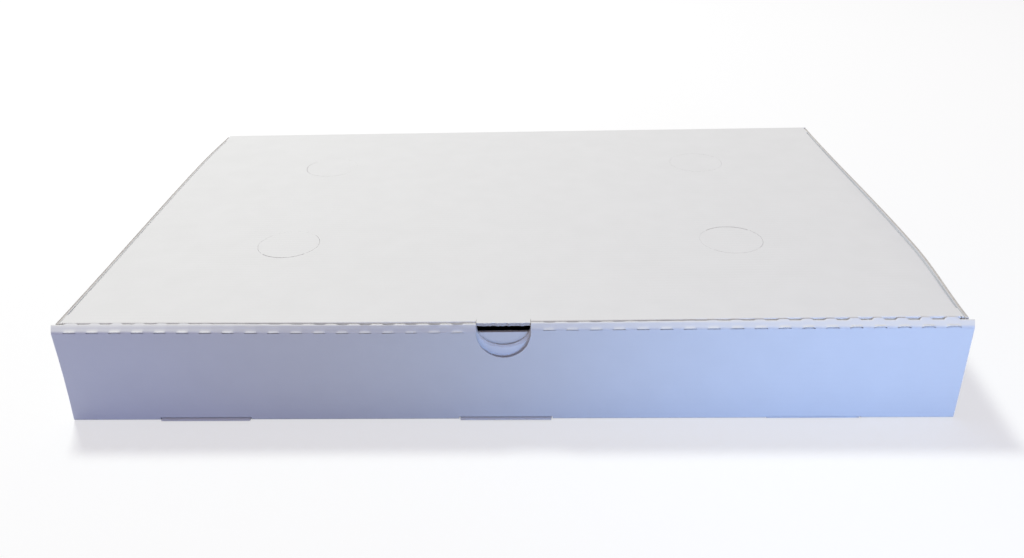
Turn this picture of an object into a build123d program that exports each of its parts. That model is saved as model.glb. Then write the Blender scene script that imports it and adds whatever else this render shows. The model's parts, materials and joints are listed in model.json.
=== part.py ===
"""Folded pizza box of white corrugated board: a tray with a rolled front and a hinged tuck-in lid."""

import os
from math import cos, radians, sin

from build123d import *

# Overall size, in millimetres. The origin is the middle of the base, on the table.
box_width = 500.0            # outside, left to right
box_depth = 330.0            # outside, front to back
box_height = 61.5            # table to the top of the closed lid

# Board and folds
board = 1.8                  # caliper of the corrugated board
ply_gap = 0.2                # air between two layers that lie on each other
crease_radius = 1.2          # outside rounding of a fold
overrun = 5.0                # how far a cutter passes the board

# Rolled front: outer wall, narrow strip, inner wall
front_height = 58.5          # table to the outer score
roll_rise = 3.4              # inner score above the outer score
roll_depth = 3 * board + 2 * ply_gap   # outer wall, corner flap and inner wall together

# Perforated scores along the strip
cut_length = 7.0
cut_width = 0.7
cut_margin = 6.0             # board left whole at the end of a row
cut_pitch = 12.65            # from cut to cut
first_cut = 10.0             # middle of the first cut from the edge of the thumb notch

# Thumb notch
notch_half_width = 15.0
outer_notch_depth = 16.0     # below the outer score, in the outer wall
inner_notch_depth = 10.0     # below the outer score, in the inner wall

# Locking tabs of the inner wall, and the slots they stand in
tab_width = 53.0
tab_spacing = 172.5          # from the middle tab to the tabs beside it
tab_slant = 2.5              # each end of a toe is set in by this at its tip
toe_reaches = (2.2, 2.2, -1.0)   # toe beyond the front face: left, middle, right
slot_height = 2.7            # opening above the table in the front wall
slot_slack = 0.6             # air at each end of a tab

# Side walls
side_drop = 0.5              # top of a side wall below the top of the lid
left_bow = 3.4               # how far the left wall's top edge bows out
left_bow_share = 0.6         # place of its widest bow, from the front
right_bow = 4.7              # how far the right wall's top edge bows out
right_bow_share = 0.3        # place of its widest bow, from the front
straight_end = 14.0          # straight part of the top edge beside each corner
corner_flap = 110.0          # length of the corner flaps

# Lid
lid_clearance = 0.4          # between the lid and the side walls
lid_front_gap = 0.5          # between the lid's front fold and the inner wall
hinge_gap = 0.15             # air in the mitre of the lid's fold
tuck_half_width = 239.0
tuck_depth = 44.0            # fold to free edge
tuck_lean = 6.5              # degrees inward, so that it clears the front as it swings
tuck_taper = 10.0            # each end is set in by this at the free edge
tuck_corner = 9.0
side_flap_depth = 38.0
side_flap_lean = 4.0         # degrees inward
side_flap_front = 16.0       # front end of the fold behind the front face
side_flap_rear = 14.0        # rear end of the fold before the back face
side_flap_taper = 22.0       # each end is set in by this at the free edge
side_flap_corner = 9.0
thumb_tab_reach = 4.4        # thumb tab forward of the front fold
thumb_tab_slack = 0.5        # air at each side of the thumb tab
thumb_slit_depth = 7.6       # lower edge of the slit below the top of the lid

# Knock-out discs in the lid
disc_radius = 19.8
disc_cut_width = 0.4
disc_nick = 2.2
disc_nicks = 4
disc_half_spacing = 143.0    # from the middle of the lid, left and right
disc_rows = (106.0, 248.0)   # behind the front face

half_width = box_width / 2
half_depth = box_depth / 2
front_face = -half_depth
roll_back = front_face + roll_depth                   # inner wall's face towards the food
roll_top = front_height + roll_rise
wall_foot = board + ply_gap                           # lower edge of panels that stand on the base
corner_top = front_height - board - ply_gap           # corner flaps end below the strip
side_top = box_height - side_drop
corner_plane = half_depth - board - ply_gap           # outside of the corner flaps
lid_half_width = half_width - board - lid_clearance
lid_front = roll_back + lid_front_gap
thumb_tab_half_width = notch_half_width - thumb_tab_slack


def rightward(direction):
    return Vector(direction.Y, -direction.X)


def inset(path, depth):
    """The path moved sideways by depth, to the right of its own direction, with mitred corners."""
    points = [Vector(*point) for point in path]
    headings = [(b - a).normalized() for a, b in zip(points, points[1:])]
    moved = [points[0] + rightward(headings[0]) * depth]
    for point, before, after in zip(points[1:], headings, headings[1:]):
        spread = rightward(before) + rightward(after)
        moved.append(point + spread * (depth / (1 + before.dot(after))))
    moved.append(points[-1] + rightward(headings[-1]) * depth)
    return moved


def folded_section(path):
    """Section of a folded board: its outside face on the path, its folds rounded outside."""
    with BuildSketch(Plane.XY) as section:
        with BuildLine():
            FilletPolyline(*path, radius=crease_radius)
            Polyline(path[-1], *reversed(inset(path, board)), path[0])
        make_face()
    return section.sketch


def wall_plan(side, bow, bow_share):
    """Plan of a side wall and its two corner flaps, the wall bowed out by bow between its ends."""
    flap_end = side * (half_width - corner_flap)
    outside = side * half_width
    inside = side * (half_width - board)
    inner_plane = corner_plane - board
    bow_at = -corner_plane + bow_share * 2 * corner_plane
    bend = corner_plane - straight_end
    rearward = (0, 1)
    forward = (0, -1)
    with BuildSketch(Plane.XY) as plan:
        with BuildLine():
            FilletPolyline(
                (flap_end, -corner_plane), (outside, -corner_plane), (outside, -bend), radius=crease_radius
            )
            Spline(
                (outside, -bend), (outside + side * bow, bow_at), (outside, bend),
                tangents=(rearward, rearward),
            )
            FilletPolyline(
                (outside, bend), (outside, corner_plane), (flap_end, corner_plane), radius=crease_radius
            )
            Polyline(
                (flap_end, corner_plane), (flap_end, inner_plane), (inside, inner_plane), (inside, bend)
            )
            Spline(
                (inside, bend), (inside + side * bow, bow_at), (inside, -bend),
                tangents=(forward, forward),
            )
            Polyline(
                (inside, -bend), (inside, -inner_plane), (flap_end, -inner_plane), (flap_end, -corner_plane)
            )
        make_face()
    return plan.sketch


def side_wall(side, bow, bow_share):
    """One side wall, straight where it leaves the base and bowed at its top, corner flaps cut lower."""
    with BuildPart() as wall:
        with BuildSketch(Plane.XY.offset(wall_foot)):
            add(wall_plan(side, 0, bow_share))
        with BuildSketch(Plane.XY.offset(side_top)):
            add(wall_plan(side, bow, bow_share))
        loft(ruled=True)
        with BuildSketch(Plane.XY.offset(corner_top)):
            with Locations((0, roll_back + ply_gap)):
                Rectangle(2 * box_width, box_depth, align=(Align.CENTER, Align.MAX))
            with Locations((0, -roll_back - ply_gap)):
                Rectangle(2 * (half_width - board), box_depth, align=(Align.CENTER, Align.MIN))
        extrude(amount=box_height, mode=Mode.SUBTRACT)
    return wall.part


def side_fold(side):
    """The fold that joins a side wall to the base, in section."""
    edge = side * half_width
    inner = side * (half_width - board)
    margin = side * (half_width - 2 * board)
    with BuildSketch(Plane.XY) as section:
        with BuildLine():
            FilletPolyline((margin, 0), (edge, 0), (edge, wall_foot), radius=crease_radius)
            Polyline((edge, wall_foot), (inner, wall_foot), (inner, board), (margin, board), (margin, 0))
        make_face()
    return section.sketch


def notch_outline(depth):
    """Outline of the thumb notch, open upwards from the outer score."""
    with BuildSketch(Plane.XY) as outline:
        with Locations((0, front_height)):
            Ellipse(notch_half_width, depth)
            Rectangle(2 * notch_half_width, box_height, align=(Align.CENTER, Align.MIN))
    return outline.sketch


def cut_places():
    """Middles of the cuts of a perforated score, from the thumb notch out to both ends."""
    start = notch_half_width + first_cut
    count = int((half_width - cut_margin - cut_length / 2 - start) / cut_pitch) + 1
    return [side * (start + cut_pitch * i) for side in (-1, 1) for i in range(count)]


def score_plane(corner, before, after):
    """Plane at a fold with its normal along the bisector, out of the board."""
    inward = rightward(before) + rightward(after)
    return Plane(origin=(0, *corner), x_dir=(1, 0, 0), z_dir=(0, -inward.X, -inward.Y))


# Tray
up = Vector(0, 1)
down = Vector(0, -1)
strip_heading = Vector(roll_depth, roll_rise).normalized()
fold_half_length = corner_plane - board - ply_gap

with BuildPart() as tray:
    with BuildSketch(Plane.YZ):
        add(folded_section((
            (half_depth, box_height),
            (half_depth, 0),
            (front_face, 0),
            (front_face, front_height),
            (roll_back, roll_top),
            (roll_back, wall_foot),
        )))
    extrude(amount=half_width, both=True)

    # The back wall's top edge is mitred for the lid's fold.
    with BuildSketch(Plane.YZ):
        with BuildLine():
            Polyline(
                (half_depth + overrun, box_height - hinge_gap + overrun),
                (half_depth - overrun, box_height - hinge_gap - overrun),
                (half_depth - overrun, box_height + overrun),
                close=True,
            )
        make_face()
    extrude(amount=box_width, both=True, mode=Mode.SUBTRACT)

    # The inner wall fits between the side walls.
    for side in (-1, 1):
        with Locations((side * (half_width - board - ply_gap), roll_back + ply_gap, board)):
            Box(
                box_width, board + 2 * ply_gap, corner_top + ply_gap - board,
                align=(Align.MIN if side > 0 else Align.MAX, Align.MAX, Align.MIN), mode=Mode.SUBTRACT,
            )

    # Side walls, folded up from the base.
    for side, bow, bow_share in ((-1, left_bow, left_bow_share), (1, right_bow, right_bow_share)):
        with Locations((side * (half_width - 2 * board), 0, 0)):
            Box(
                box_width, 2 * fold_half_length, 2 * board,
                align=(Align.MIN if side > 0 else Align.MAX, Align.CENTER, Align.CENTER), mode=Mode.SUBTRACT,
            )
        with BuildSketch(Plane.XZ):
            add(side_fold(side))
        extrude(amount=fold_half_length, both=True)
        add(side_wall(side, bow, bow_share))

    # Thumb notch through the outer wall, then through the strip and the inner wall.
    with BuildSketch(Plane.XZ.offset(half_depth + overrun)):
        add(notch_outline(outer_notch_depth))
    extrude(amount=-(overrun + board + ply_gap / 2), mode=Mode.SUBTRACT)
    with BuildSketch(Plane.XZ.offset(half_depth - board - ply_gap / 2)):
        add(notch_outline(inner_notch_depth))
    extrude(amount=-(roll_depth + overrun), mode=Mode.SUBTRACT)

    # Slots along the front fold, and the locking tabs that stand in them.
    for place, reach in zip((-tab_spacing, 0, tab_spacing), toe_reaches):
        with Locations((place, roll_back + ply_gap, slot_height)):
            Box(
                tab_width + 2 * slot_slack, roll_depth + ply_gap + overrun, slot_height + overrun,
                align=(Align.CENTER, Align.MAX, Align.MAX), mode=Mode.SUBTRACT,
            )
        with Locations((place, roll_back, 0)):
            Box(tab_width, board, slot_height + board, align=(Align.CENTER, Align.MAX, Align.MIN))
        with BuildSketch(Plane.XY):
            with BuildLine():
                Polyline(
                    (place - tab_width / 2, roll_back - board / 2),
                    (place + tab_width / 2, roll_back - board / 2),
                    (place + tab_width / 2, roll_back - board),
                    (place + tab_width / 2 - tab_slant, front_face - reach),
                    (place - tab_width / 2 + tab_slant, front_face - reach),
                    (place - tab_width / 2, roll_back - board),
                    close=True,
                )
            make_face()
        extrude(amount=board)

    # Perforations of the two scores.
    for corner, before, after in (
        ((front_face, front_height), up, strip_heading),
        ((roll_back, roll_top), strip_heading, down),
    ):
        reach = board / cos(radians(before.get_angle(after) / 2)) + ply_gap
        with Locations(score_plane(corner, before, after)):
            with Locations(*[(place, 0, 0) for place in cut_places()]):
                Box(cut_length, cut_width, 2 * reach, mode=Mode.SUBTRACT)

# Lid
tuck_angle = radians(tuck_lean)
side_angle = radians(side_flap_lean)
flap_start = -(board - ply_gap)      # flaps begin inside the panel's thickness

with BuildPart() as lid:
    with BuildSketch(Plane.YZ):
        with BuildLine():
            Polyline(
                (lid_front, box_height),
                (half_depth - hinge_gap, box_height),
                (half_depth - hinge_gap - board, box_height - board),
                (lid_front, box_height - board),
                close=True,
            )
        make_face()
    extrude(amount=lid_half_width, both=True)
    top_edges = lid.faces().sort_by(Axis.Z)[-1].edges()
    fillet(top_edges.sort_by(Axis.Y)[:-1], crease_radius)

    # Front tuck flap
    tuck_plane = Plane(
        origin=(0, lid_front, box_height), x_dir=(1, 0, 0), z_dir=(0, -cos(tuck_angle), -sin(tuck_angle))
    )
    with BuildSketch(tuck_plane) as tuck:
        with BuildLine():
            Polyline(
                (-tuck_half_width, flap_start),
                (-tuck_half_width + tuck_taper, -tuck_depth),
                (tuck_half_width - tuck_taper, -tuck_depth),
                (tuck_half_width, flap_start),
                close=True,
            )
        make_face()
        fillet(tuck.vertices().group_by(Axis.Y)[0], tuck_corner)
    extrude(amount=-board)

    # Side tuck flaps
    for side in (-1, 1):
        flap_plane = Plane(
            origin=(side * lid_half_width, 0, box_height), x_dir=(0, side, 0),
            z_dir=(side * cos(side_angle), 0, -sin(side_angle)),
        )
        front_end = side * (front_face + side_flap_front)
        rear_end = side * (half_depth - side_flap_rear)
        with BuildSketch(flap_plane) as side_flap:
            with BuildLine():
                Polyline(
                    (front_end, flap_start),
                    (front_end + side * side_flap_taper, -side_flap_depth),
                    (rear_end - side * side_flap_taper, -side_flap_depth),
                    (rear_end, flap_start),
                    close=True,
                )
            make_face()
            fillet(side_flap.vertices().group_by(Axis.Y)[0], side_flap_corner)
        extrude(amount=-board)

    # Slit in the tuck flap, and the thumb tab left standing above it.
    with Locations((0, lid_front - board, box_height - thumb_slit_depth)):
        Box(
            2 * thumb_tab_half_width, 3 * board, thumb_slit_depth + overrun,
            align=(Align.CENTER, Align.MIN, Align.MIN), mode=Mode.SUBTRACT,
        )
    with Locations((0, lid_front - thumb_tab_reach, box_height)):
        Box(
            2 * thumb_tab_half_width, thumb_tab_reach + 3 * board, board,
            align=(Align.CENTER, Align.MIN, Align.MAX),
        )

    # Knock-out discs, cut through but for their nicks.
    with BuildSketch(Plane.XY.offset(box_height)):
        for row in disc_rows:
            for side in (-1, 1):
                with Locations((side * disc_half_spacing, front_face + row)):
                    Circle(disc_radius + disc_cut_width / 2)
                    Circle(disc_radius - disc_cut_width / 2, mode=Mode.SUBTRACT)
                    with PolarLocations(disc_radius, disc_nicks, start_angle=180 / disc_nicks):
                        Rectangle(2 * disc_nick, disc_nick, mode=Mode.SUBTRACT)
    extrude(amount=-board, mode=Mode.SUBTRACT)

tray.part.label = "tray"
lid.part.label = "lid"
os.makedirs("parts", exist_ok=True)
export_step(tray.part, "parts/tray.step")
export_step(lid.part, "parts/lid.step")
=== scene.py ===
"""Looks of the folded pizza box: white corrugated board on a pale studio floor."""

import json
from math import cos, pi, radians, sin, sqrt, tan

import bmesh
import bpy
from mathutils import Matrix, Vector


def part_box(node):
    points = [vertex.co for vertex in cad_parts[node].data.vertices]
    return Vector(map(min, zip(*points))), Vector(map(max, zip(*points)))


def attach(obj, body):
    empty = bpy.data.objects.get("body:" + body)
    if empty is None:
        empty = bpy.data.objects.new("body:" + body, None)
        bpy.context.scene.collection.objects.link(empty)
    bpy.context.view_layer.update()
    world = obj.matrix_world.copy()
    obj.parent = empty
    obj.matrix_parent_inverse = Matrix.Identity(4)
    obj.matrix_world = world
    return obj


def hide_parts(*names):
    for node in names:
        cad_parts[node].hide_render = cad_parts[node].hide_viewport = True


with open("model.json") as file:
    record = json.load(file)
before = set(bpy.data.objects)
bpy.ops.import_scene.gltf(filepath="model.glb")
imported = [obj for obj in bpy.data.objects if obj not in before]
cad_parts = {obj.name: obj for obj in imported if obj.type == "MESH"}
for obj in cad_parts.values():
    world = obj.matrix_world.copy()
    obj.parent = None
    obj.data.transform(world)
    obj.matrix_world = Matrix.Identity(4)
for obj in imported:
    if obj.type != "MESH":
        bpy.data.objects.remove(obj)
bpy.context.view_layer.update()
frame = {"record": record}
mm = 0.001

# Overall sizes in millimetres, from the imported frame
hinge = frame["record"]["behaviour"]["joints"][0]["pos_m"]
half_depth = hinge[1] / mm
box_height = hinge[2] / mm
lid_half_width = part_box("lid")[1][0] / mm

# Board and folds
board = 1.8
ply_gap = 0.2
crease_radius = 1.2
inner_crease_radius = 0.15
crease_steps = 6
liner_share = 0.14           # thickness of one liner in the cut edge
flute_pitch = 3.3
groove_depth = 0.25          # how far the fluting lies behind the liners in a cut edge

# Rolled front
lid_clearance = 0.4
half_width = lid_half_width + board + lid_clearance
front_face = -half_depth
front_height = 58.5
roll_depth = 3 * board + 2 * ply_gap
roll_back = front_face + roll_depth
left_rise = 3.55             # the rear score stands this much above the front one at the left end
right_rise = 2.7
# Beside the notch the strip stands steeper
twist_narrowing = 1.55       # it is this much shallower there,
twist_rise = 1.55            # its rear score this much higher,
left_sag = 1.4               # and its front score this much lower
right_sag = 0.2
left_twist_start = -245.0
left_twist_run = 190.0
right_twist = 0.9
right_twist_end = 210.0
right_twist_run = 200.0
wall_foot = board + ply_gap
corner_top = front_height - board - ply_gap
corner_plane = half_depth - board - ply_gap
hinge_gap = 0.15
front_score_radius = 2.6
left_flare = (0.3, 2.3)      # the left end widens by this up to the front score and to the rear one
right_flare = (1.3, 3.3)
flare_run = 16.0
front_waves = ((0.25, 61.0, 0.6), (0.15, 23.0, 2.0))  # depth, length and phase in the front wall
left_end_warp = 0.9          # the front wall curves back at its left end
left_end_start = -238.0
left_end_run = 12.0

# Perforated scores
cut_half_length = 3.5
cut_margin = 6.0
cut_pitch = 12.65
first_cut = 10.0
cut_fullness = 1.7           # the larger, the nearer to its ends a cut is fully open
least_opening = 0.75         # share of the full opening that every cut has
lip_length = 1.5             # the strip's cut edge lies flatter from this far behind the score
left_lip = (-0.45, 0.75)     # and ends this far in front of the score and above it at the left
right_lip = (0.2, 0.95)
left_room = 0.4              # room between the wall's cut edge and the strip's
right_room = 0.15
lip_loss = 0.5               # where the strip is steep, its front lips are smaller by this share
rear_lip_gap = 0.35          # room between the lid's fold and the lips of the rear score
steep_lip = 0.45             # rise of these lips where the strip is steep
lip_room = 0.04              # lips end this far below the top of the box
inner_drop = 2.2             # the inner wall's cut edge lies this far below the fold
lip_crush = 0.5              # a cut edge is pressed thinner by this share
score_steps = 7
score_split = 3              # the cut lies between this step of a score and the next

# Thumb notch
notch_half_width = 15.0
outer_notch_depth = 17.6
inner_notch_depth = 11.6
notch_crush = 0.65           # the rim of the notch is pressed thinner by this share,
notch_crush_growth = 2       # which it has in full from the arch's height divided by this

# Locking tabs and their slots
tab_half_width = 26.5
tab_spacing = 172.5
tab_slant = 0.8
toe_reaches = (1.4, 1.4, -0.4)
toe_crush = 0.7              # a toe's tip is pressed thinner by this share
toe_lifts = (0.55, 0.55, 0.0)  # and stands this far off the floor
slot_heights = (2.1, 2.0, 1.2)
slot_slack = 0.05
tab_places = (-tab_spacing, 0.0, tab_spacing)

# Side walls
side_drop = 0.5              # the side walls end this far below the lid's face
side_top = box_height - side_drop
side_top_band = 2.0
corner_flap = 110.0
fold_half_length = corner_plane - board - ply_gap
side_margin = 2 * board      # the base ends here, and the side fold begins
# Each bow: how far it goes at its widest, then its front end, its widest place and its rear end
left_bow = (3.5, -170.0, 95.0, 210.0)
right_bow = (5.55, -172.0, -70.0, 170.0)
lid_left_bow = (3.75, -180.0, 95.0, 218.0)
lid_right_bow = (5.1, -165.0, -72.0, 160.0)
lid_left_band = 58.0         # the lid widens only within this distance of its edges
lid_right_band = 6.0
lid_right_slope = 0.15       # fall of the lid's right edge, where it bows out

# Lid
lid_setback = 0.5
lid_front = roll_back + lid_setback
lid_crease_radius = 0.9
lid_dip_left = 0.4           # the lid's front edge is pressed down by this at its left end
lid_dip_right = 0.15
lid_dip_run = 34.0
tuck_half_width = 246.3
tuck_shoulder = 7.3          # the tuck flap narrows by this just below its fold
shoulder_depth = 8.0
tuck_depth = 44.0
tuck_lean = radians(6.5)
tuck_taper = 10.0
tuck_bulge = 1.0             # beside the notch the tuck flap bulges towards the inner wall
tuck_bulge_depth = 28.0
side_flap_depth = 38.0
side_flap_lean = radians(4.0)
side_flap_front_inset = 16.0
side_flap_rear_inset = 14.0
side_flap_front = front_face + side_flap_front_inset
side_flap_rear = half_depth - side_flap_rear_inset
side_flap_taper = 22.0
flap_corner = 9.0
edge_jog = 0.3               # a cut edge steps over to a fold within this length
thumb_tab_reach = 3.4
thumb_tab_half_width = 14.8
thumb_slit_depth = 6.6
thumb_slit_start = 1.6       # the cuts beside the tab begin this far behind the fold
thumb_tab_root = 1.5         # the tab's torn edge begins this far in front of the fold
thumb_tab_jag = 1.5          # and is torn unevenly by up to half of this
jag_start = 40               # number of the first unevenness used for the torn edge

# Knock-out discs
disc_radius = 19.8
disc_nick = 1.4
disc_half_spacing = 143.0
disc_row_front, disc_row_rear = 106.0, 248.0
# Place of each disc, and the widths of its rear, left, front and right cut
discs = (
    (-disc_half_spacing, disc_row_front, (0.02, 0.09, 0.36, 0.15)),
    (disc_half_spacing, disc_row_front, (0.40, 0.06, 0.13, 0.13)),
    (-disc_half_spacing, disc_row_rear, (0.04, 0.16, 0.12, 0.04)),
    (disc_half_spacing, disc_row_rear, (0.08, 0.06, 0.10, 0.08)),
)

# Places of mesh rows between the folds, and fineness of the meshes
tolerance = 0.01
slot_zone = slot_slack + tolerance     # columns this near to a tab have its slot
side_stations = (12.0, 24.0, 36.0, 47.0)
tuck_stations = (2.0, 4.0)
side_flap_station = 6.0
flap_middle_share = 0.4
lid_lead = 4.0               # rows of the lid this far behind its front fold
fold_lead = 1.35
notch_margin = 4
cut_stations = (-1, -0.85, -0.55, 0, 0.55, 0.85, 1)   # columns of a cut, in its half lengths
tray_column_width = 6.0
side_column_width = 5.0
lid_row_width = 7.0
lid_column_width = 14.0
column_bias = 0.49           # added before rounding a count of columns, so that it is rounded up
notch_steps = 28
flap_corner_steps = 8
thumb_tab_steps = 10
disc_steps = 16
smooth_angle = radians(32)

# Camera at the photograph's viewing angle
camera_place = Vector((0.0195, -0.5940, 0.3141))
camera_heading = radians(2.34)
camera_pitch = radians(24.41)
camera_roll = radians(-1.60)
camera_lens_mm = 32.19
camera_shift = (0.0078, -0.0494)


# Folded sections
def shares(*values):
    """Stations along a straight run, as shares of it."""
    return lambda start, end: [start.lerp(end, value) for value in values]


def at(axis, *values):
    """Stations along a straight run, where the given coordinate has these values."""
    return lambda start, end: [
        start + (end - start) * ((value - start[axis]) / (end[axis] - start[axis]))
        for value in values
    ]


def left_of(heading):
    return Vector((-heading.y, heading.x))


def inset(corners, depth):
    """The path moved to the left of its own direction by depth, with mitred corners."""
    headings = [(b - a).normalized() for a, b in zip(corners, corners[1:])]
    moved = [corners[0] + left_of(headings[0]) * depth]
    for corner, before, after in zip(corners[1:], headings, headings[1:]):
        mitre = (left_of(before) + left_of(after)) * (depth / (1 + before.dot(after)))
        moved.append(corner + mitre)
    moved.append(corners[-1] + left_of(headings[-1]) * depth)
    return moved


def rounded_path(corners, radii, steps, stations):
    """Points along a path with round corners, and at stations on its straight runs."""
    points = []
    start = corners[0]
    places = zip(corners, corners[1:], corners[2:], radii, steps, stations)
    for last, corner, following, radius, count, run in places:
        before = (corner - last).normalized()
        after = (following - corner).normalized()
        turn = before.angle(after)
        arc_start = corner - before * (radius * tan(turn / 2))
        points += run(start, arc_start)
        side = 1 if left_of(before).dot(after) > 0 else -1
        for step in range(count + 1):
            angle = turn * step / count
            across = left_of(before) * (side * (1 - cos(angle)))
            points.append(arc_start + (before * sin(angle) + across) * radius)
        start = points[-1]
    return points + stations[-1](start, corners[-1])


def folded(corners, depth, radii, steps, stations):
    """Outer and inner skin of a folded board: the inner one lies depth to the left of the path."""
    outer = rounded_path(corners, radii, steps, stations)
    inner_radii = [max(inner_crease_radius, radius - board) for radius in radii]
    inner = rounded_path(inset(corners, depth), inner_radii, steps, stations)
    return outer, inner


def smooth_step(value):
    value = min(max(value, 0.0), 1.0)
    return value * value * (3 - 2 * value)


def bow_at(bow, y):
    """How far an edge bows out at y."""
    widest, front_end, place, rear_end = bow
    if y < place:
        return widest * smooth_step((y - front_end) / (place - front_end))
    return widest * smooth_step((rear_end - y) / (rear_end - place))


def unevenness(number):
    """A fixed, irregular value between 0 and 1 for each number."""
    turn, scale = 12.9898, 43758.5453
    return (sin(number * turn) * scale) % 1.0


class BoardMesh:
    """Sheets of board with two skins, closed along their cut edges.

    The outer skin is paper and the inner one is lining, which is drawn lighter and bluer than the
    paper as painted light.
    """

    paper, raw_edge, lining = 0, 1, 2

    def __init__(self):
        self.vertices = []
        self.faces = []
        self.finishes = []

    def add_vertex(self, point):
        self.vertices.append(point * mm)
        return len(self.vertices) - 1

    def add_face(self, corners, finish):
        self.faces.append(corners)
        self.finishes.append(finish)

    def add_sheet(self, outer, inner, filled, groove, crushed=lambda row: False):
        """Adds the filled cells of a grid, with rims whose core lies groove behind the liners.

        Where a row is crushed, the white liners are drawn over its cut edge.
        """
        skins = (outer, inner)
        made = {}

        def vertex(skin, place):
            key = (skin, place)
            if key not in made:
                made[key] = self.add_vertex(skins[skin][place[0]][place[1]])
            return made[key]

        rows = range(len(outer) - 1)
        columns = range(len(outer[0]) - 1)
        cells = {(i, j): True for i in rows for j in columns if filled(i, j)}
        rims = []
        inward = {}
        for i, j in cells:
            loop = ((i, j), (i, j + 1), (i + 1, j + 1), (i + 1, j))
            self.add_face([vertex(0, place) for place in loop], self.paper)
            self.add_face([vertex(1, place) for place in reversed(loop)], self.lining)
            beside = ((i - 1, j), (i, j + 1), (i + 1, j), (i, j - 1))
            middle = sum((outer[r][c] for r, c in loop), Vector((0, 0, 0))) / 4
            for a, b, neighbour in zip(loop, loop[1:] + loop[:1], beside):
                if neighbour in cells:
                    continue
                rims.append((a, b))
                start, end = outer[a[0]][a[1]], outer[b[0]][b[1]]
                along = (end - start).normalized()
                into = middle - start
                into = (into - along * into.dot(along)).normalized()
                for place in (a, b):
                    inward[place] = inward.get(place, Vector((0, 0, 0))) + into
        ladders = {}

        def ladder(place):
            if place not in ladders:
                top = outer[place[0]][place[1]]
                bottom = inner[place[0]][place[1]]
                back = inward[place].normalized() * groove
                far = 1 - liner_share
                levels = [(liner_share, 0), (far, 0)]
                if groove:
                    levels = [(liner_share, 0), (liner_share, 1), (far, 1), (far, 0)]
                core = [
                    self.add_vertex(top.lerp(bottom, share) + back * behind)
                    for share, behind in levels
                ]
                ladders[place] = [vertex(0, place), *core, vertex(1, place)]
            return ladders[place]

        for a, b in rims:
            first, second = ladder(a), ladder(b)
            for level in range(len(first) - 1):
                is_paper = level in (0, len(first) - 2) or crushed(a[0]) and crushed(b[0])
                self.add_face(
                    [first[level], second[level], second[level + 1], first[level + 1]],
                    self.paper if is_paper else self.raw_edge,
                )

    def build(self, name, materials):
        mesh = bpy.data.meshes.new(name)
        mesh.from_pydata(self.vertices, [], self.faces)
        mesh.polygons.foreach_set("material_index", self.finishes)
        shape = bmesh.new()
        shape.from_mesh(mesh)
        bmesh.ops.recalc_face_normals(shape, faces=shape.faces)
        shape.to_mesh(mesh)
        shape.free()
        for material in materials:
            mesh.materials.append(material)
        piece = bpy.data.objects.new(name, mesh)
        bpy.context.collection.objects.link(piece)
        return piece


def smooth(piece):
    """Shades a piece smoothly, apart from its sharp edges."""
    piece.data.polygons.foreach_set("use_smooth", [True] * len(piece.data.polygons))
    piece.data.set_sharp_from_angle(angle=smooth_angle)


# Tray
def cut_places():
    """Middles of the cuts of a perforated score, from the thumb notch out to both ends."""
    start = notch_half_width + first_cut
    count = int((half_width - cut_margin - cut_half_length - start) / cut_pitch) + 1
    return sorted(side * (start + cut_pitch * i) for side in (-1, 1) for i in range(count))


cuts = cut_places()


def cut_share(x):
    """How far the cut at x is open: 0 at its ends and outside, about 1 along its middle."""
    for place in cuts:
        offset = (x - place) / cut_half_length
        if abs(offset) < 1:
            opening = least_opening + (1 - least_opening) * unevenness(place)
            return min(1.0, cut_fullness * (1 - offset * offset)) * opening
    return 0.0


def tab_at(x, slack):
    """Number of the locking tab at x, or None."""
    for number, place in enumerate(tab_places):
        if abs(x - place) < tab_half_width + slack:
            return number
    return None


def columns_between(fixed, widest):
    """Fixed columns, sorted, with more put between them where they lie far apart."""
    fixed = sorted({round(value, 3) for value in fixed})
    columns = []
    for a, b in zip(fixed, fixed[1:]):
        count = max(1, round((b - a) / widest + column_bias))
        columns += [a + (b - a) * k / count for k in range(count)]
    return columns + [fixed[-1]]


def tray_columns():
    fixed = [side * place for side in (-1, 1) for place in
             (half_width, half_width - board - ply_gap, half_width - side_margin)]
    fixed += [notch_half_width * cos(pi * k / notch_steps) for k in range(notch_steps + 1)]
    for place in tab_places:
        for reach in (tab_half_width, tab_half_width + slot_slack):
            fixed += [place - reach, place + reach]
    for place in cuts:
        fixed += [place + cut_half_length * share for share in cut_stations]
    return columns_between(fixed, tray_column_width)


def roll_shape(x):
    """Depth of the strip and heights of its front and rear score at x: it twists to the notch."""
    left = smooth_step((x - left_twist_start) / left_twist_run)
    right = right_twist * smooth_step((right_twist_end - x) / right_twist_run)
    rightward = min(max(0.5 + x / (2 * notch_half_width), 0.0), 1.0)
    twist = left + (right - left) * rightward
    sag = left_sag + (right_sag - left_sag) * rightward
    rise = left_rise + (right_rise - left_rise) * smooth_step(x / half_width)
    return (roll_depth - twist_narrowing * twist, front_height - sag * twist,
            front_height + rise + twist_rise * twist)


tray_radii = (crease_radius, crease_radius, front_score_radius, crease_radius, crease_radius)
tray_steps = (crease_steps, crease_steps, score_steps, score_steps, crease_steps)
back_stations = (0, 0.5)
base_stations = (fold_half_length, 80.0, 0.0, -80.0, roll_back + ply_gap, -fold_half_length)
front_stations = (min(slot_heights), 15.0, 29.0, 43.0)
strip_stations = (0.5,)
inner_stations = (corner_top + ply_gap, 39.0, 21.0, wall_foot)
toe_stations = (0.5, 1)
tray_stations = (
    back_stations, base_stations, front_stations, strip_stations, inner_stations, toe_stations,
)
tray_runs = (
    shares(*back_stations),
    at(0, *base_stations),
    at(1, *front_stations),
    shares(*strip_stations),
    at(1, *inner_stations),
    shares(*toe_stations),
)


def tray_rows():
    """First row of each run and each fold of the tray's section, in turn."""
    starts = [0]
    for number, stations in enumerate(tray_stations):
        starts.append(starts[-1] + len(stations))
        if number < len(tray_steps):
            starts.append(starts[-1] + tray_steps[number] + 1)
    return starts


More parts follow.
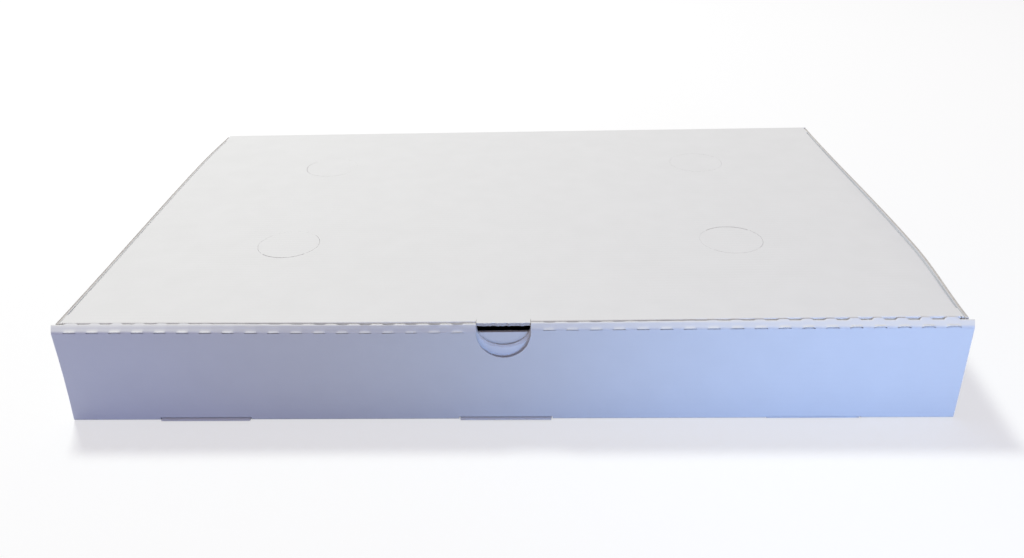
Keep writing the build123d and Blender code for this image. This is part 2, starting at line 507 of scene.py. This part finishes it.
(_, _, row_base, row_front_fold, row_front, row_outer_score, _, row_inner_score,
 row_inner, row_tab_fold, row_toe, row_end) = tray_rows()
row_fold_rear = row_base             # base row at the rear end of the side folds
row_slot_rear = row_front_fold - 2
row_fold_front = row_front_fold - 1
row_slot_top = row_front
row_roll_foot = row_inner            # the inner wall is narrower below this row
row_wall_foot = row_tab_fold - 1


def open_front_score(outer, inner, corner, strip, rightward, steepness, share):
    """Parts the front score in a cut: the wall's edge stands, the strip's edge curls over it."""
    first, last = row_outer_score, row_outer_score + score_steps
    foot = outer[first]
    hem = corner + strip * lip_length
    lip_size = 1 - lip_loss * steepness
    edge = corner + Vector(left_lip).lerp(Vector(right_lip), rightward) * lip_size
    room = (left_room + (right_room - left_room) * rightward) * lip_size
    thickness = board * (1 - lip_crush) * lip_size
    under = edge - left_of((hem - edge).normalized()) * thickness
    for k in range(score_split + 1):
        reach = k / score_split
        wall = foot.lerp(Vector((front_face, under.y - room)), reach)
        outer[first + k] = outer[first + k].lerp(wall, share)
        inner[first + k] = inner[first + k].lerp(wall + Vector((board, 0)), share)
        outer[last - k] = outer[last - k].lerp(hem.lerp(edge, reach), share)
        lining = (hem - left_of(strip) * board).lerp(under, reach)
        inner[last - k] = inner[last - k].lerp(lining, share)


def open_rear_score(outer, inner, strip, narrowing, share):
    """Parts the rear score in a cut: the strip runs on, the inner wall ends below it.

    Where the strip is flat, its lip reaches back to the lid; where it is steep, it stands straight.
    """
    first, last = row_inner_score, row_inner_score + score_steps
    start, end = outer[first], outer[last]
    top = box_height - lip_room
    straight = start + strip * steep_lip
    leaning = Vector((lid_front - narrowing - rear_lip_gap, top))
    tip = leaning.lerp(straight, narrowing / twist_narrowing)
    for k in range(score_split + 1):
        reach = k / score_split
        lip = start.lerp(tip, reach)
        outer[first + k] = outer[first + k].lerp(lip, share)
        thickness = board * (1 - lip_crush * reach)
        inner[first + k] = inner[first + k].lerp(lip - left_of(strip) * thickness, share)
        wall = end - Vector((0, inner_drop + (1 - reach) * ply_gap))
        outer[last - k] = outer[last - k].lerp(wall, share)
        inner[last - k] = inner[last - k].lerp(wall - Vector((board, 0)), share)


def tray_section(x):
    """Outer and inner skin of the tray's folded section at x."""
    depth, front_score, rear_score = roll_shape(x)
    tab = tab_at(x, slot_zone)
    reach = toe_reaches[tab] if tab is not None else 0.0
    corners = [Vector(point) for point in (
        (half_depth, box_height - hinge_gap),
        (half_depth, 0),
        (front_face, 0),
        (front_face, front_score),
        (front_face + depth, rear_score),
        (roll_back, 0),
        (front_face - reach, 0),
    )]
    outer, inner = folded(corners, -board, tray_radii, tray_steps, tray_runs)
    inner[0].y -= board
    if tab is not None:
        outer[row_slot_top].y = inner[row_slot_top].y = slot_heights[tab]
    share = cut_share(x)
    if share:
        strip = (corners[4] - corners[3]).normalized()
        narrowing = roll_depth - depth
        steepness = narrowing / twist_narrowing
        rightward = smooth_step(x / half_width)
        open_front_score(outer, inner, corners[3], strip, rightward, steepness, share)
        open_rear_score(outer, inner, strip, narrowing, share)
    if abs(x) <= notch_half_width:
        arch = sqrt(max(0.0, 1 - (x / notch_half_width) ** 2))
        for skin in (outer, inner):
            lower_to(skin, row_slot_top, row_outer_score, front_height - outer_notch_depth, arch)
            lower_to(skin, row_wall_foot, row_inner - 1, front_height - inner_notch_depth, arch)
        for row in (row_outer_score, row_inner - 1):
            crush = notch_crush * min(1.0, notch_crush_growth * arch)
            inner[row] = inner[row].lerp(outer[row], crush)
    return outer, inner


def lower_to(skin, foot, top, height, share):
    """Draws the rows between foot and top together, so that the top row comes down to height."""
    low, high = skin[foot].y, skin[top].y
    target = high + (height - high) * share
    step = 1 if top > foot else -1
    for row in range(foot, top + step, step):
        skin[row].y = low + (skin[row].y - low) * (target - low) / (high - low)


def front_warp(x, z):
    """How far the front wall stands back from a true plane."""
    height_share = sin(pi * min(max(z / front_height, 0.0), 1.0))
    waves = sum(depth * sin(x / length + phase) for depth, length, phase in front_waves)
    left_end = max(0.0, (left_end_start - x) / left_end_run)
    return height_share * (waves + left_end_warp * left_end ** 2)


def end_flare(x, y, z, row):
    """How far the rolled front widens at x, which it does only near its two ends."""
    if not row_front <= row <= row_inner_score + score_steps:
        return 0.0
    wall, strip = left_flare if x < 0 else right_flare
    flare = wall * min(1.0, z / front_height)
    if row > row_outer_score:
        flare = wall + (strip - wall) * min(max((y - front_face) / roll_depth, 0.0), 1.0)
    near_end = smooth_step((abs(x) - half_width + flare_run) / flare_run)
    return flare * near_end * (-1 if x < 0 else 1)


def tray_sheet(board_mesh):
    """The back wall, the base and the rolled front with its tabs."""
    columns = tray_columns()
    sections = [tray_section(x) for x in columns]
    skins = []
    for skin in (0, 1):
        grid = []
        for row in range(row_end):
            line = []
            for x, section in zip(columns, sections):
                y, z = section[skin][row]
                if row_front <= row <= row_outer_score:
                    y += front_warp(x, z)
                if row >= row_toe:
                    tab = tab_at(x, slot_zone)
                    if tab is not None:
                        place = tab_places[tab]
                        along = (row - row_toe + 1) / len(toe_stations)
                        x = place + (x - place) * (1 - tab_slant / tab_half_width * along)
                        z = z * (1 - toe_crush * along) + toe_lifts[tab] * along
                line.append(Vector((x + end_flare(x, y, z, row), y, z)))
            grid.append(line)
        skins.append(grid)

    def filled(i, j):
        x = (columns[j] + columns[j + 1]) / 2
        in_notch = abs(x) < notch_half_width
        if row_slot_rear <= i < row_slot_top and tab_at(x, slot_slack) is not None:
            return False
        if row_fold_rear <= i < row_fold_front:
            return abs(x) < half_width - side_margin
        if row_outer_score <= i < row_inner_score + score_steps and in_notch:
            return False
        if i in (row_outer_score + score_split, row_inner_score + score_split) and cut_share(x):
            return False
        if i >= row_wall_foot:
            return tab_at(x, 0) is not None
        if i >= row_roll_foot:
            return abs(x) < half_width - board - ply_gap
        return True

    def crushed(row):
        """The toes and the roll are crushed, apart from the strip's front lips."""
        lip_edge = row_outer_score + score_split + 1
        on_roll = row_outer_score <= row <= row_inner_score + score_steps
        return row >= row_tab_fold or on_roll and row != lip_edge

    board_mesh.add_sheet(*skins, filled, 0.0, crushed)


def side_wall_sheet(board_mesh, side, bow):
    """A side wall with its fold to the base and its two corner flaps."""
    heights = (wall_foot, *side_stations, corner_top, side_top - side_top_band, side_top)
    front_flap, rear_flap = (0, 0.5), (0.5, 1)
    section = folded(
        [Vector(p) for p in (
            (half_width - side_margin, 0), (half_width, 0), (half_width, side_top))],
        board, (crease_radius,), (crease_steps,), (shares(0), at(1, *heights)),
    )
    bend = corner_plane - crease_radius
    stops = columns_between(
        [-bend, -fold_half_length, roll_back + ply_gap, 0, fold_half_length, bend],
        side_column_width)
    plan = folded(
        [Vector(p) for p in (
            (half_width - corner_flap, -corner_plane), (half_width, -corner_plane),
            (half_width, corner_plane), (half_width - corner_flap, corner_plane))],
        board, (crease_radius, crease_radius), (crease_steps, crease_steps),
        (shares(*front_flap), at(1, *stops[1:-1]), shares(*rear_flap)),
    )
    first_wall = len(front_flap) + crease_steps
    last_wall = first_wall + len(stops) - 1
    column_rear_flap = len(plan[0]) - len(rear_flap)
    first_height = 1 + crease_steps + 1
    row_corner_top = first_height + heights.index(corner_top)
    skins = []
    for skin in (0, 1):
        grid = []
        for row, (across, z) in enumerate(section[skin]):
            line = []
            for column, (x, y) in enumerate(plan[skin]):
                share = max(0.0, (z - wall_foot) / (side_top - wall_foot))
                bowed = bow_at(bow, y) * share
                if row < first_height:
                    x = across
                elif column < len(front_flap) or column >= column_rear_flap:
                    bowed = 0.0
                line.append(Vector((side * (x + bowed), y, z)))
            grid.append(line)
        skins.append(grid)

    def filled(i, j):
        on_wall = first_wall <= j < last_wall
        if i < first_height:
            middle = (plan[0][j].y + plan[0][j + 1].y) / 2
            return on_wall and abs(middle) < fold_half_length
        if i >= row_corner_top:
            ahead = plan[0][j].y < roll_back
            return not ahead and j < column_rear_flap - 1
        return True

    board_mesh.add_sheet(*skins, filled, groove_depth)


# Lid
def rounded_end(depth, length):
    """How far the end of a flap is set in by its round corner, at a depth below the fold."""
    into = depth - (length - flap_corner)
    return flap_corner - sqrt(max(0.0, flap_corner ** 2 - into ** 2)) if into > 0 else 0.0


def flap_depths(length, *more):
    """Depths of a flap's rows below its fold: those given, its middle and its round corners."""
    round_part = [
        length - flap_corner + flap_corner * sin(pi / 2 * k / flap_corner_steps)
        for k in range(flap_corner_steps + 1)
    ]
    return [*more, length * flap_middle_share, *round_part]


def lid_sheet(board_mesh):
    """The lid's panel with its tuck flap, its side flaps and its thumb tab."""
    tuck_depths = flap_depths(tuck_depth, *tuck_stations, thumb_slit_depth)
    tuck_heights = [box_height - depth * cos(tuck_lean) for depth in tuck_depths]
    panel_stops = columns_between(
        [side_flap_rear + edge_jog, side_flap_rear, side_flap_front, side_flap_front - edge_jog],
        lid_row_width)[::-1]
    panel_stops += [lid_front + lead for lead in (lid_lead, thumb_slit_start, fold_lead)]
    rear = half_depth - hinge_gap
    along = folded(
        [Vector(p) for p in (
            (rear, box_height), (lid_front, box_height),
            (lid_front + tuck_depth * sin(tuck_lean), box_height - tuck_depth * cos(tuck_lean)))],
        board, (lid_crease_radius,), (crease_steps,),
        (lambda a, b: [a.copy(), *at(0, *panel_stops)(a, b)], at(1, *tuck_heights)),
    )
    along[1][0].x = rear - board
    row_fold = 1 + len(panel_stops)
    row_slit_start = row_fold - 2        # the row at thumb_slit_start
    row_tuck = row_fold + crease_steps + 1
    row_slit = row_tuck + len(tuck_stations)

    side_depths = flap_depths(side_flap_depth, side_flap_station)
    side_heights = [box_height - depth * cos(side_flap_lean) for depth in side_depths]
    tab_columns = [
        thumb_tab_half_width * k / thumb_tab_steps for k in range(thumb_tab_steps + 1)
    ]
    panel_columns = columns_between(
        [*tab_columns, notch_half_width, notch_half_width + notch_margin,
         lid_half_width - lid_right_band, lid_half_width - lid_right_band / 2,
         tuck_half_width, tuck_half_width + edge_jog],
        lid_column_width)
    across = folded(
        [Vector(p) for p in (
            (0, box_height), (lid_half_width, box_height),
            (lid_half_width - side_flap_depth * sin(side_flap_lean),
             box_height - side_flap_depth * cos(side_flap_lean)))],
        -board, (crease_radius,), (crease_steps,), (at(0, *panel_columns), at(1, *side_heights)),
    )
    column_fold = len(panel_columns)
    column_flap = column_fold + crease_steps + 1
    count = len(across[0])
    order = [(-1, c) for c in range(count - 1, 0, -1)] + [(1, c) for c in range(count)]
    tuck_row_depths = {row_tuck + k: depth for k, depth in enumerate(tuck_depths)}
    flap_column_depths = {column_flap + k: depth for k, depth in enumerate(side_depths)}
    flap_middle = (side_flap_front + side_flap_rear) / 2
    flap_half = (side_flap_rear - side_flap_front) / 2

    def lid_point(skin, row, side, column):
        """A point of the lid: rows run from hinge to tuck flap, columns from the middle out."""
        y, z = along[skin][row]
        x, flap_z = across[skin][column]
        bow, band, slope = lid_right_bow, lid_right_band, lid_right_slope
        if side < 0:
            bow, band, slope = lid_left_bow, lid_left_band, 0.0
        bowed = bow_at(bow, y) * smooth_step((x - lid_half_width + band) / band)
        if column >= column_fold and row <= row_fold:
            depth = flap_column_depths.get(column, 0.0)
            if column >= column_flap:
                end = flap_half - side_flap_taper * depth / side_flap_depth
                end -= rounded_end(depth, side_flap_depth)
                y = flap_middle + (y - flap_middle) * end / flap_half
                bowed = bow_at(bow, y) * (1 - depth / side_flap_depth)
            elif column > column_fold or side_flap_front <= along[0][row].x <= side_flap_rear:
                bowed = bow_at(bow, y)
            else:
                x = lid_half_width
            z = flap_z if column > column_fold else z
        if row > row_fold:
            depth = tuck_row_depths.get(row, 0.0)
            end = tuck_half_width - tuck_taper * depth / tuck_depth - rounded_end(depth, tuck_depth)
            end -= tuck_shoulder * smooth_step(depth / shoulder_depth)
            x = x * end / tuck_half_width
            bowed = 0.0
        on_tab = x < (thumb_tab_half_width + notch_half_width) / 2
        if on_tab and row in (row_fold - 1, row_fold):
            jag = thumb_tab_jag * (unevenness(side * column + jag_start) - 0.5)
            torn_edge = lid_front - thumb_tab_reach + abs(jag)
            y = lid_front - thumb_tab_root if row < row_fold else torn_edge
        elif x > tuck_half_width + edge_jog / 2 and row == row_fold:
            y = lid_front
        near_front = smooth_step((lid_front + lid_dip_run - y) / lid_dip_run)
        dip_change = (lid_dip_right - lid_dip_left) * (side * x / lid_half_width + 1) / 2
        z -= near_front * (lid_dip_left + dip_change)
        if row > row_fold or not on_tab:
            bulge_place = min(1.0, tuck_row_depths.get(row, 0.0) / tuck_bulge_depth)
            bulge = 1 + tuck_bulge * sin(pi * bulge_place)
            y -= near_front * bulge * (roll_depth - roll_shape(side * x)[0])
        return Vector((side * (x + bowed), y, z - slope * bowed))

    rows = range(len(along[0]))
    skins = [
        [[lid_point(skin, row, side, column) for side, column in order] for row in rows]
        for skin in (0, 1)
    ]

    def filled(i, j):
        (side_a, a), (side_b, b) = order[j], order[j + 1]
        outermost = max(a, b)
        x = (side_a * across[0][a].x + side_b * across[0][b].x) / 2
        if outermost > column_fold:
            ends = (along[0][i].x, along[0][i + 1].x)
            behind_front = min(ends) > side_flap_front - tolerance
            return i < row_fold and behind_front and max(ends) < side_flap_rear + tolerance
        if i >= row_slit_start and thumb_tab_half_width < abs(x) < notch_half_width:
            return i >= row_slit
        if row_fold <= i < row_slit and abs(x) < notch_half_width:
            return False
        if i >= row_fold:
            return abs(x) < tuck_half_width
        return True

    board_mesh.add_sheet(*skins, filled, 0.0)


def disc_cutter():
    """The four ring cuts round the knock-out discs, each with its nicks left out."""
    cutter = bmesh.new()
    nick_angle = disc_nick / disc_radius
    quarter = pi / 2
    # Across the cut in its own widths, and up in boards from the top of the lid
    section = ((-0.5, -2), (0.5, -2), (0.5, 1), (-0.5, 1))
    sides = len(section)
    for x, row, widths in discs:
        for part, width in enumerate(widths):
            start = quarter * (part + 0.5) + nick_angle / 2
            sweep = quarter - nick_angle
            rings = []
            for step in range(disc_steps + 1):
                angle = start + sweep * step / disc_steps
                ring = []
                for offset, z in section:
                    reach = disc_radius + offset * width
                    ring.append(cutter.verts.new(Vector((
                        x + reach * cos(angle),
                        front_face + row + reach * sin(angle),
                        box_height + z * board,
                    )) * mm))
                rings.append(ring)
            for a, b in zip(rings, rings[1:]):
                for k in range(sides):
                    following = (k + 1) % sides
                    cutter.faces.new((a[k], a[following], b[following], b[k]))
            cutter.faces.new(rings[0])
            cutter.faces.new(rings[-1])
    bmesh.ops.recalc_face_normals(cutter, faces=cutter.faces)
    for face in cutter.faces:
        face.material_index = BoardMesh.raw_edge
    mesh = bpy.data.meshes.new("disc_cutter")
    cutter.to_mesh(mesh)
    cutter.free()
    piece = bpy.data.objects.new("disc_cutter", mesh)
    bpy.context.collection.objects.link(piece)
    return piece


def cut_discs(piece, materials):
    """Cuts the rings round the discs out of the lid."""
    cutter = disc_cutter()
    for material in materials:
        cutter.data.materials.append(material)
    cut = piece.modifiers.new("cut", "BOOLEAN")
    cut.operation = "DIFFERENCE"
    cut.solver = "EXACT"
    cut.object = cutter
    scene_state = bpy.context.evaluated_depsgraph_get()
    mesh = bpy.data.meshes.new_from_object(piece.evaluated_get(scene_state))
    piece.modifiers.clear()
    piece.data = mesh
    bpy.data.objects.remove(cutter)


# Materials
def calculate(tree, operation, *values):
    """A math node's result. Each value is a number or another node's output."""
    node = tree.nodes.new("ShaderNodeMath")
    node.operation = operation
    for socket, value in zip(node.inputs, values):
        if isinstance(value, (int, float)):
            socket.default_value = value
        else:
            tree.links.new(value, socket)
    return node.outputs["Value"]


def noise(tree, place, scale, detail):
    node = tree.nodes.new("ShaderNodeTexNoise")
    node.inputs["Scale"].default_value = scale
    node.inputs["Detail"].default_value = detail
    tree.links.new(place.outputs["Object"], node.inputs["Vector"])
    return node.outputs["Fac"]


def relief(tree, height, strength, distance):
    """A bump node: a height of 1 stands this distance, in metres, above the surface."""
    node = tree.nodes.new("ShaderNodeBump")
    node.inputs["Strength"].default_value = strength
    node.inputs["Distance"].default_value = distance
    tree.links.new(height, node.inputs["Height"])
    return node


def flute_height(tree, place):
    """Low waves of the fluting: they run across the lid and the front, and up the side walls."""
    side_facing = 0.7
    where = tree.nodes.new("ShaderNodeSeparateXYZ")
    tree.links.new(place.outputs["Object"], where.inputs["Vector"])
    facing = tree.nodes.new("ShaderNodeSeparateXYZ")
    tree.links.new(place.outputs["Normal"], facing.inputs["Vector"])
    sideways = calculate(tree, "ABSOLUTE", facing.outputs["X"])
    not_on_side = calculate(tree, "LESS_THAN", sideways, side_facing)
    along = calculate(tree, "MULTIPLY_ADD", where.outputs["Z"], not_on_side, where.outputs["Y"])
    turn = calculate(tree, "MULTIPLY", along, 2 * pi / (flute_pitch * mm))
    return calculate(tree, "SINE", turn)


def paper_material(name, roughness, specular, scale, detail, dark, light):
    """Rough paper, mottled between two tints. Returns the material and its place node."""
    material = bpy.data.materials.new(name)
    material.use_nodes = True
    tree = material.node_tree
    shader = tree.nodes["Principled BSDF"]
    shader.inputs["Roughness"].default_value = roughness
    shader.inputs["Specular IOR Level"].default_value = specular
    place = tree.nodes.new("ShaderNodeTexCoord")
    tint = tree.nodes.new("ShaderNodeValToRGB")
    stops = zip(tint.color_ramp.elements, (0.3, 0.7), (dark, light))
    for element, position, colour in stops:
        element.position = position
        element.color = colour
    tree.links.new(noise(tree, place, scale, detail), tint.inputs["Fac"])
    tree.links.new(tint.outputs["Color"], shader.inputs["Base Color"])
    return material, place


def board_material(name, dark, light):
    """White-faced board: faint mottling and fibres, and the fluting showing as low waves."""
    material, place = paper_material(
        name, roughness=0.62, specular=0.35, scale=60, detail=5, dark=dark, light=light)
    tree = material.node_tree
    fibres = relief(tree, noise(tree, place, scale=900, detail=3), strength=0.12, distance=0.0003)
    waves = relief(tree, flute_height(tree, place), strength=1.0, distance=0.000012)
    tree.links.new(fibres.outputs["Normal"], waves.inputs["Normal"])
    tree.links.new(waves.outputs["Normal"], tree.nodes["Principled BSDF"].inputs["Normal"])
    return material


def edge_material():
    """Grey-brown core of the board, as a cut edge shows it."""
    material, _ = paper_material(
        "raw_edge", roughness=0.9, specular=0.2, scale=700, detail=4,
        dark=(0.50, 0.475, 0.45, 1), light=(0.66, 0.635, 0.61, 1))
    return material


# In the order of BoardMesh's finishes
materials = (
    board_material("white_board", (0.764, 0.764, 0.758, 1), (0.782, 0.782, 0.777, 1)),
    edge_material(),
    # The lining is a lighter, bluer copy of the board. This is painted light, standing for the lit
    # inner wall seen through the thumb notch.
    board_material("painted_light_lining", (0.82, 0.845, 0.88, 1), (0.84, 0.865, 0.9, 1)),
)

tray_mesh = BoardMesh()
tray_sheet(tray_mesh)
side_wall_sheet(tray_mesh, -1, left_bow)
side_wall_sheet(tray_mesh, 1, right_bow)
tray = tray_mesh.build("tray_board", materials)
smooth(tray)
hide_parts("tray")
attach(tray, "tray")

lid_mesh = BoardMesh()
lid_sheet(lid_mesh)
lid = lid_mesh.build("lid_board", materials)
cut_discs(lid, materials)
smooth(lid)
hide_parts("lid")
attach(lid, "lid")


# Studio
def area_light(name, place, target, size, power, colour, spread=180):
    """A rectangular lamp at place, turned to target."""
    data = bpy.data.lights.new(name, "AREA")
    data.spread = radians(spread)
    data.shape = "RECTANGLE"
    data.size, data.size_y = size
    data.energy = power
    data.color = colour
    light = bpy.data.objects.new(name, data)
    light.location = place
    light.rotation_euler = (Vector(target) - Vector(place)).to_track_quat("-Z", "Y").to_euler()
    bpy.context.collection.objects.link(light)


area_light(
    "key", place=(-0.98, 1.4, 3.0), target=(0, 0, 0), size=(0.55, 0.55),
    power=93, colour=(0.95, 1.0, 0.925),
)
# Two low, bluish lamps for the front wall
area_light(
    "right_fill", place=(0.32, -0.80, 0.09), target=(0.20, -0.165, 0.035), size=(0.3, 0.05),
    power=0.36, colour=(0.32, 0.54, 1.0), spread=56,
)
area_light(
    "left_fill", place=(-0.33, -0.85, 0.03), target=(-0.27, -0.165, 0.03), size=(0.2, 0.05),
    power=0.045, colour=(0.25, 0.42, 1.0), spread=34,
)

world = bpy.data.worlds.new("studio")
world.use_nodes = True
background = world.node_tree.nodes["Background"]
background.inputs["Color"].default_value = (0.94, 0.82, 0.98, 1)
background.inputs["Strength"].default_value = 0.35
bpy.context.scene.world = world

floor_size = 8
floor_bounce = (0.42, 0.42, 0.42, 1)     # the floor as it lights the box
floor_seen = (0.98, 0.98, 0.98, 1)       # and as it is seen,
floor_whiteness = 0.59                   # with this share of plain white


def floor_material():
    """Pale floor that shows nearly white to the camera and keeps the box's shadow."""
    material = bpy.data.materials.new("floor")
    material.use_nodes = True
    tree = material.node_tree
    shader = tree.nodes["Principled BSDF"]
    shader.inputs["Roughness"].default_value = 0.9
    path = tree.nodes.new("ShaderNodeLightPath")
    seen = calculate(
        tree, "MAXIMUM", path.outputs["Is Camera Ray"], path.outputs["Is Glossy Ray"])
    seen = calculate(tree, "MAXIMUM", seen, path.outputs["Is Transmission Ray"])
    colour = tree.nodes.new("ShaderNodeMix")
    colour.data_type = "RGBA"
    colour.inputs["A"].default_value = floor_bounce
    colour.inputs["B"].default_value = floor_seen
    tree.links.new(seen, colour.inputs["Factor"])
    tree.links.new(colour.outputs["Result"], shader.inputs["Base Color"])
    white = tree.nodes.new("ShaderNodeEmission")
    mixed = tree.nodes.new("ShaderNodeMixShader")
    tree.links.new(calculate(tree, "MULTIPLY", seen, floor_whiteness), mixed.inputs["Fac"])
    tree.links.new(shader.outputs["BSDF"], mixed.inputs[1])
    tree.links.new(white.outputs["Emission"], mixed.inputs[2])
    tree.links.new(mixed.outputs["Shader"], tree.nodes["Material Output"].inputs["Surface"])
    return material


bpy.ops.mesh.primitive_plane_add(size=floor_size, location=(0, 0, 0))
floor = bpy.context.object
floor.name = "floor"
floor.data.materials.append(floor_material())

camera_data = bpy.data.cameras.new("camera")
camera_data.lens = camera_lens_mm
camera_data.shift_x, camera_data.shift_y = camera_shift
camera = bpy.data.objects.new("camera", camera_data)
camera.matrix_world = (
    Matrix.Translation(camera_place)
    @ Matrix.Rotation(camera_heading, 4, "Z")
    @ Matrix.Rotation(radians(90) - camera_pitch, 4, "X")
    @ Matrix.Rotation(camera_roll, 4, "Z")
)
bpy.context.collection.objects.link(camera)
bpy.context.scene.camera = camera
bpy.context.scene.view_settings.view_transform = "Standard"
